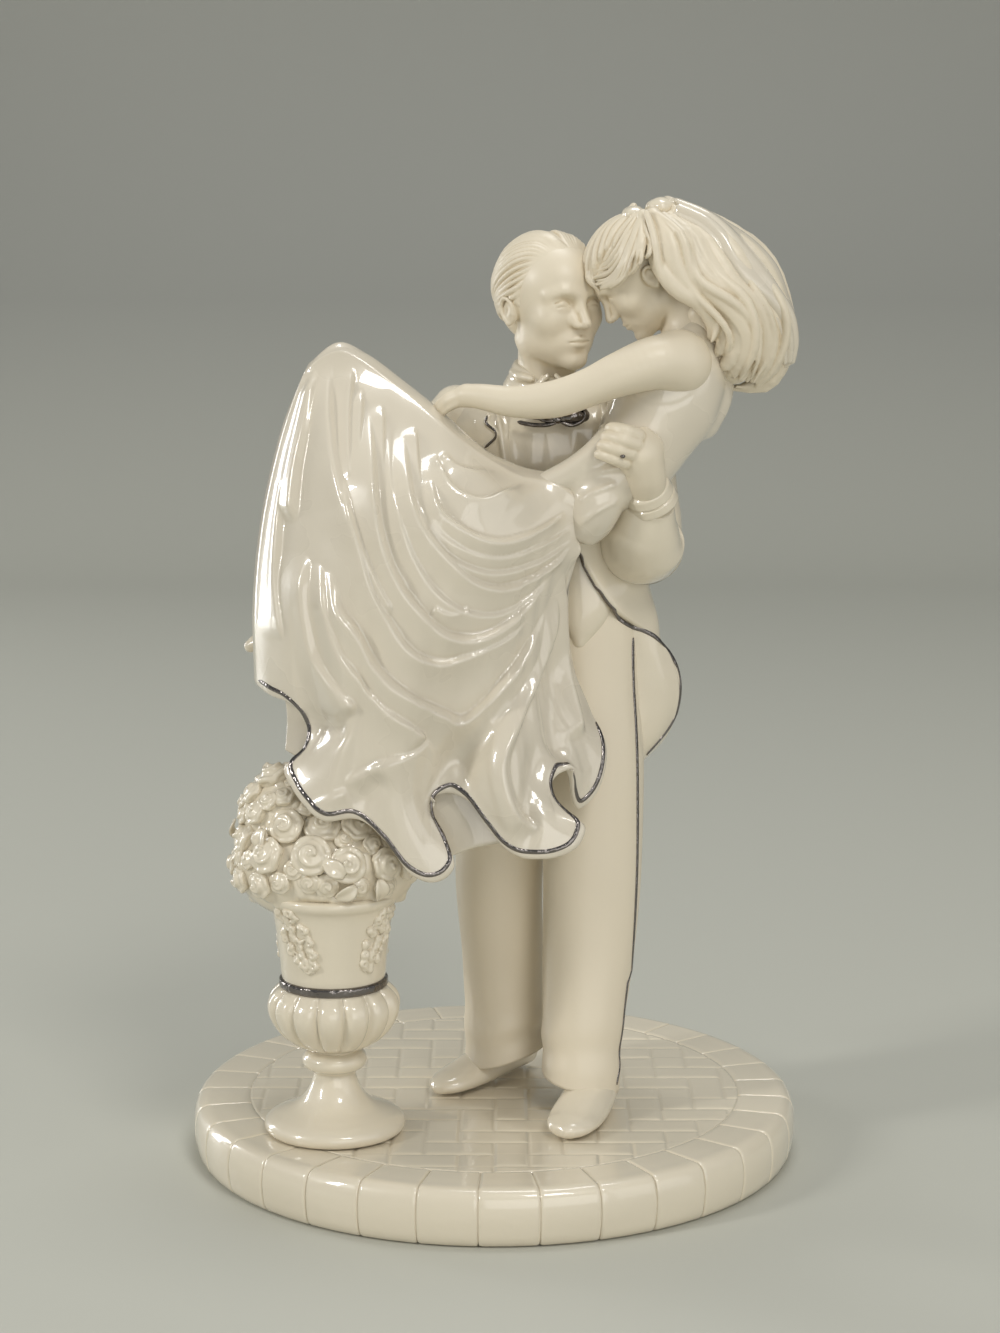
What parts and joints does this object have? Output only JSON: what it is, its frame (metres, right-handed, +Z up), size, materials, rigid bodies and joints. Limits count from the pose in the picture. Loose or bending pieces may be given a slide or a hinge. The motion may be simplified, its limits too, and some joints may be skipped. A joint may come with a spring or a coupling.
{
  "type": "wedding cake topper",
  "caption": "Porcelain wedding cake topper: a groom carries his bride beside an urn of roses on a round brick-paved base, with platinum trim.",
  "frame": {"origin": "centre of the round base's underside", "axes": "+Z up; the front of the base and the couple face -Y; +X is to the right of a viewer in front"},
  "size_m": [0.1118, 0.112, 0.1761],
  "materials": {
    "porcelain_glazed": "ivory porcelain under a clear gloss glaze",
    "porcelain_satin": "ivory porcelain with a satin surface",
    "porcelain_lustre": "ivory porcelain under a pearly lustre glaze",
    "platinum": "fired platinum lustre, mirror bright"
  },
  "bodies": {
    "root": {"base_plinth": "porcelain_glazed", "base_paving": "porcelain_glazed", "urn_foot": "porcelain_glazed", "urn_bowl": "porcelain_glazed", "urn_band": "platinum", "urn_vase": "porcelain_glazed", "urn_spray_1": "porcelain_glazed", "urn_spray_2": "porcelain_glazed", "urn_spray_3": "porcelain_glazed", "urn_spray_4": "porcelain_glazed", "bouquet_foliage": "porcelain_glazed", "bouquet_rose_1": "porcelain_glazed", "bouquet_rose_2": "porcelain_glazed", "bouquet_rose_3": "porcelain_glazed", "bouquet_rose_4": "porcelain_glazed", "bouquet_rose_5": "porcelain_glazed", "bouquet_rose_6": "porcelain_glazed", "bouquet_rose_7": "porcelain_glazed", "bouquet_rose_8": "porcelain_glazed", "bouquet_rose_9": "porcelain_glazed", "bouquet_rose_10": "porcelain_glazed", "bouquet_rose_11": "porcelain_glazed", "bouquet_rose_12": "porcelain_glazed", "bouquet_rose_13": "porcelain_glazed", "bouquet_rose_14": "porcelain_glazed", "bouquet_rose_15": "porcelain_glazed", "bouquet_rose_16": "porcelain_glazed", "groom_trouser_left": "porcelain_satin", "groom_trouser_right": "porcelain_satin", "groom_shoe_left": "porcelain_glazed", "groom_shoe_right": "porcelain_glazed", "groom_head": "porcelain_satin", "groom_coat": "porcelain_glazed", "groom_shirt": "porcelain_glazed", "groom_waistcoat": "porcelain_glazed", "groom_collar": "porcelain_glazed", "groom_hair": "porcelain_satin", "groom_sleeve_left": "porcelain_glazed", "groom_sleeve_right": "porcelain_glazed", "groom_bow_tie": "platinum", "groom_handkerchief": "porcelain_glazed", "groom_coat_tail_left": "porcelain_glazed", "groom_coat_tail_right": "porcelain_glazed", "bride_bodice": "porcelain_lustre", "groom_cuff_left": "porcelain_glazed", "groom_hand_left": "porcelain_satin", "bride_arm_left": "porcelain_satin", "bride_arm_right": "porcelain_satin", "bride_head": "porcelain_satin", "bride_hair": "porcelain_satin", "bride_veil": "porcelain_lustre", "bride_headpiece": "porcelain_glazed", "bride_shoe": "porcelain_glazed", "bride_skirt": "porcelain_lustre"}
  },
  "joints": []
}
